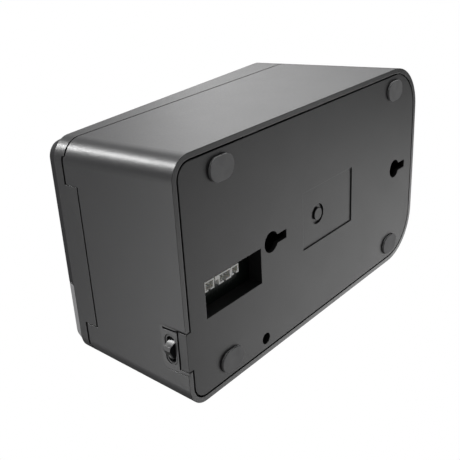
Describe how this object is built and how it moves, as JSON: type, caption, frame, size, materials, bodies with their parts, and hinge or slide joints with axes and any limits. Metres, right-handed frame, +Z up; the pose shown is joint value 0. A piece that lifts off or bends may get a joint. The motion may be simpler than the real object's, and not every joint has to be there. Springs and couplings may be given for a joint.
{
  "type": "receipt printer",
  "caption": "Small till receipt printer: wedge-shaped box with hinged lid, rocker switch, keyhole base plate and service bay.",
  "frame": {"origin": "on the standing surface, under the middle of the housing", "axes": "+Z up, -Y towards the paper exit at the front, +X to the right seen from the front"},
  "size_m": [0.1076, 0.1928, 0.0976],
  "materials": {
    "housing_black": "fine textured matt moulding",
    "plate_black": "smooth matt moulding",
    "deck_gloss": "semi-gloss dark moulding",
    "trim_silver": "silver-grey painted satin",
    "panel_gloss": "dark satin panel",
    "foot_rubber": "matt foam rubber",
    "button_grey": "satin",
    "lens_clear": "clear light pipe",
    "switch_black": "satin black",
    "board_green": "dark solder mask",
    "led_body": "clear epoxy",
    "header_nylon": "natural white nylon",
    "steel": "plain bright steel",
    "screw_steel": "zinc plated",
    "gear_nylon": "natural acetal",
    "bush_brass": "sintered bronze",
    "platen_rubber": "ground rubber",
    "head_aluminium": "milled",
    "head_ceramic": "glazed ceramic strip",
    "bucket_plastic": "matt black moulding",
    "can_aluminium": "sleeved can",
    "ribbon_white": "flat flexible cable"
  },
  "bodies": {
    "base": {"base_shell": "housing_black", "board_headers": "header_nylon", "board_screws": "screw_steel", "bottom_plate": "plate_black", "bucket_screws": "screw_steel", "button_board": "board_green", "button_board_screws": "screw_steel", "capacitors": "can_aluminium", "drawer_socket": "switch_black", "feed_switch": "switch_black", "foot_front_left": "foot_rubber", "foot_front_right": "foot_rubber", "foot_rear_left": "foot_rubber", "foot_rear_right": "foot_rubber", "frame_screws": "screw_steel", "front_panel": "panel_gloss", "head_pivot_pin": "steel", "head_springs": "steel", "hinge_pin_left": "steel", "hinge_pin_right": "steel", "idler_stud": "steel", "main_board": "board_green", "mech_frame": "steel", "paper_bucket": "bucket_plastic", "plate_screws": "screw_steel", "port_board": "board_green", "power_socket": "switch_black", "power_switch_body": "switch_black", "ribbon_cable": "ribbon_white", "rocker_pin": "steel", "status_leds": "led_body", "status_lenses": "lens_clear", "stepper_motor": "steel", "tear_bar": "steel", "usb_socket": "steel"},
    "cover": {"cover_shell": "housing_black", "deck_panel": "deck_gloss", "deck_trim": "trim_silver", "platen_bush_left": "bush_brass", "platen_bush_right": "bush_brass"},
    "platen": {"platen_roller": "platen_rubber", "platen_shaft": "steel", "platen_gear": "gear_nylon"},
    "idler": {"idler_gear": "gear_nylon"},
    "motor_rotor": {"motor_pinion": "gear_nylon", "motor_shaft": "steel"},
    "print_head": {"print_head_bracket": "head_aluminium", "print_head_strip": "head_ceramic"},
    "rocker": {"power_rocker": "switch_black"},
    "button": {"feed_button": "button_grey"}
  },
  "joints": [
    {"name": "cover_hinge", "type": "hinge", "parent": "base", "child": "cover", "pos_m": [0, 0.0926, 0.0578], "axis": [-1, 0, 0], "range_deg": [0, 95]},
    {"name": "platen_spin", "type": "hinge", "parent": "cover", "child": "platen", "pos_m": [0, -0.0745, 0.0785], "axis": [1, 0, 0], "continuous": true},
    {"name": "idler_spin", "type": "hinge", "parent": "base", "child": "idler", "pos_m": [-0.04, -0.06547, 0.06703], "axis": [1, 0, 0], "continuous": true},
    {"name": "motor_spin", "type": "hinge", "parent": "base", "child": "motor_rotor", "pos_m": [-0.04, -0.0609, 0.05572], "axis": [1, 0, 0], "continuous": true},
    {"name": "head_float", "type": "hinge", "parent": "base", "child": "print_head", "pos_m": [0, -0.0605, 0.0708], "axis": [1, 0, 0], "range_deg": [0, 3.5], "stiffness_Nm_per_rad": 1.5, "deforming": ["head_springs"]},
    {"name": "power_switch", "type": "hinge", "parent": "base", "child": "rocker", "pos_m": [0.0275, 0.091, 0.01], "axis": [0, 0, -1], "range_deg": [0, 28]},
    {"name": "feed_press", "type": "slide", "parent": "base", "child": "button", "axis": [0, 1, 0], "range_m": [0, 0.0008], "stiffness_N_per_m": 300, "springref_m": -0.0002}
  ],
  "couplings": [
    {"joint": "idler_spin", "follows": "platen_spin", "ratio": -0.8},
    {"joint": "motor_spin", "follows": "platen_spin", "ratio": 1.6}
  ]
}
